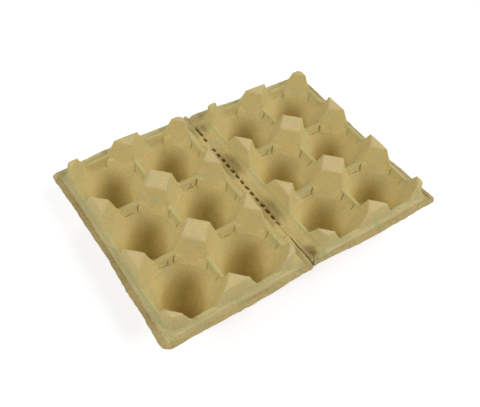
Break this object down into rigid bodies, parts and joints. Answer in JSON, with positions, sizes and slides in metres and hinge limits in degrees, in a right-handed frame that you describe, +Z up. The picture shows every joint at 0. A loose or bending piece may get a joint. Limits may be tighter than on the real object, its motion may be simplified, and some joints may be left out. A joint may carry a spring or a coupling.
{
  "type": "egg tray insert",
  "caption": "Moulded pulp tray insert with rows of round egg cups between four-sided posts, in two halves joined by a perforated fold line.",
  "frame": {"origin": "middle of the tray, on the plane that the cup bottoms stand on", "axes": "+Z up, out of the cups; X along the longer side, across the fold; Y along the fold, with the torn end of the perforation at -Y"},
  "size_m": [0.235, 0.1718, 0.044],
  "materials": {
    "pulp": "matte moulded pulp"
  },
  "bodies": {
    "root": {"egg_tray": "pulp"}
  },
  "joints": []
}
